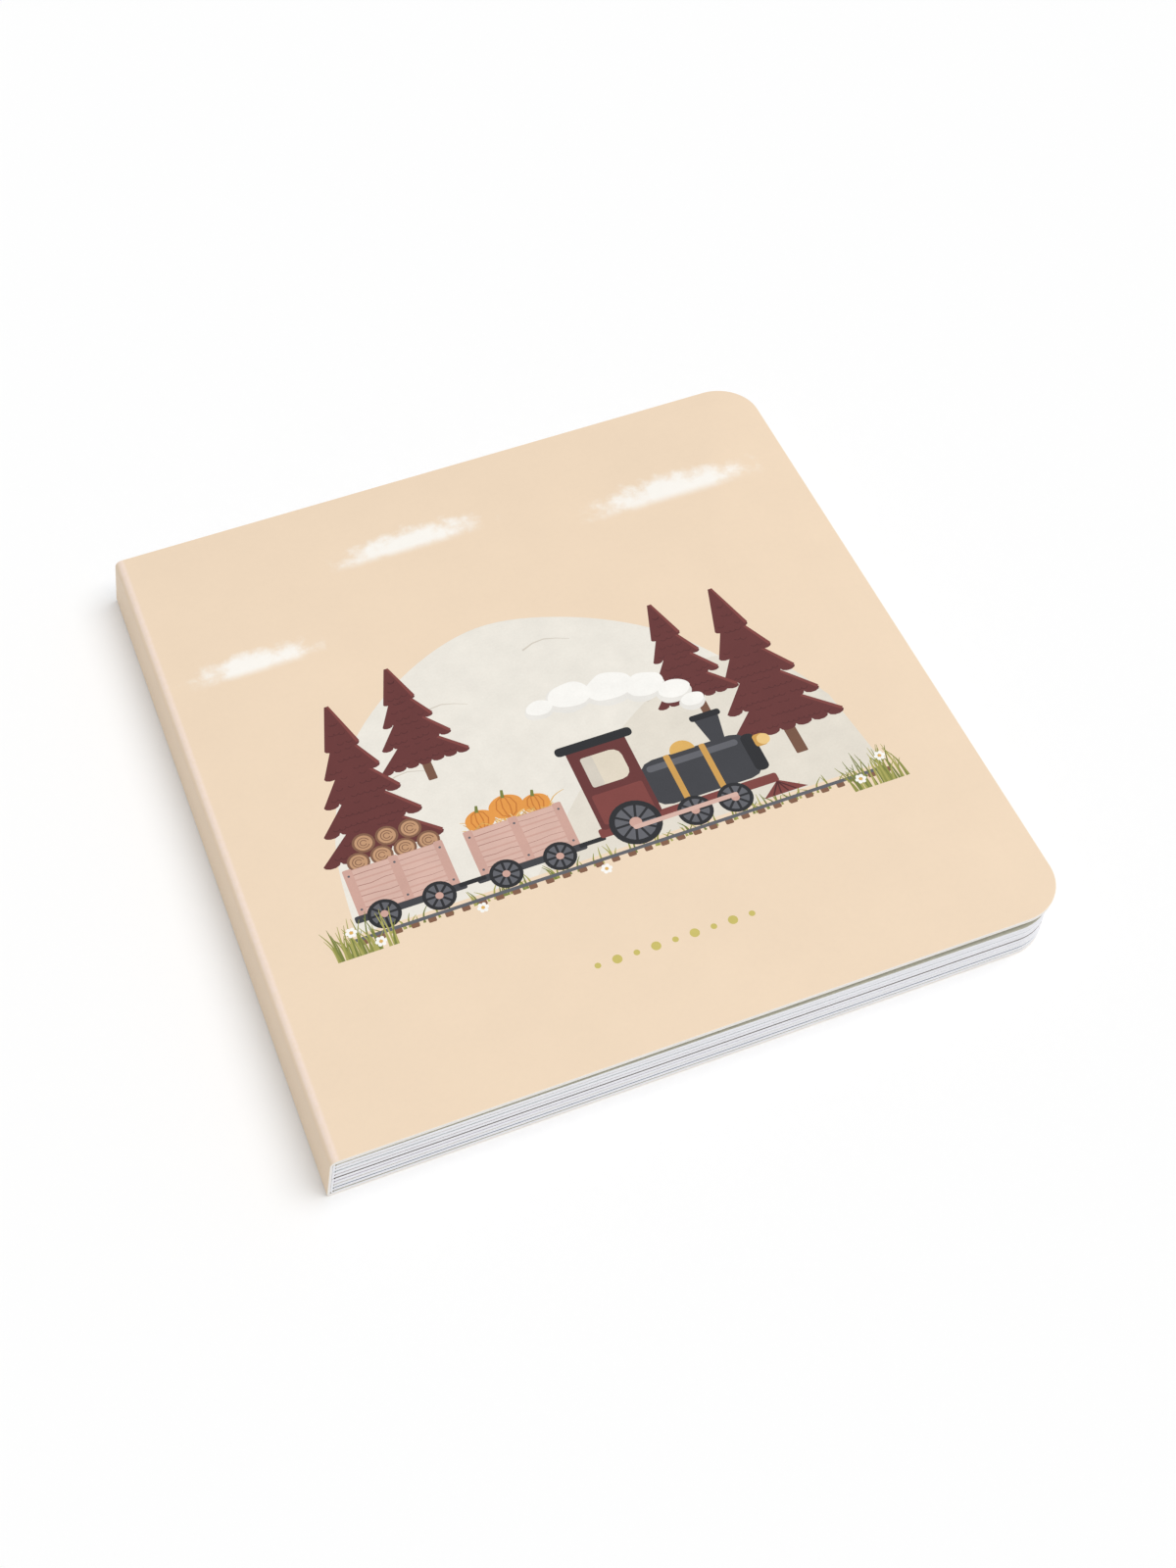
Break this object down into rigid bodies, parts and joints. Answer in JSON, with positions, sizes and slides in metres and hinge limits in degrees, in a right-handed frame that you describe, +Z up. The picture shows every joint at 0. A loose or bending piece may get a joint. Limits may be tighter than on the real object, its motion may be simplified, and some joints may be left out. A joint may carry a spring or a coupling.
{
  "type": "baby board book",
  "caption": "Closed square board book with thick card leaves, wraparound cover, leaning spine and rounded fore-edge corners; both covers open.",
  "frame": {"origin": "middle of the underside of the back cover", "axes": "+X from the spine to the fore-edge, +Y from the tail to the head, +Z up through the closed book to the front cover"},
  "size_m": [0.175, 0.18, 0.0137],
  "materials": {
    "cover_card": "matt laminated print on card",
    "page_card": "white coated card, cut edges"
  },
  "bodies": {
    "block": {"page_block": "page_card", "spine": "cover_card"},
    "front_cover": {"front_cover": "cover_card"},
    "back_cover": {"back_cover": "cover_card"}
  },
  "joints": [
    {"name": "front_cover_hinge", "type": "hinge", "parent": "block", "child": "front_cover", "pos_m": [-0.08576, 0, 0.01243], "axis": [0, -1, 0], "range_deg": [0, 180]},
    {"name": "back_cover_hinge", "type": "hinge", "parent": "block", "child": "back_cover", "pos_m": [-0.08752, 0, 0.00131], "axis": [0, 1, 0], "range_deg": [0, 180]}
  ]
}
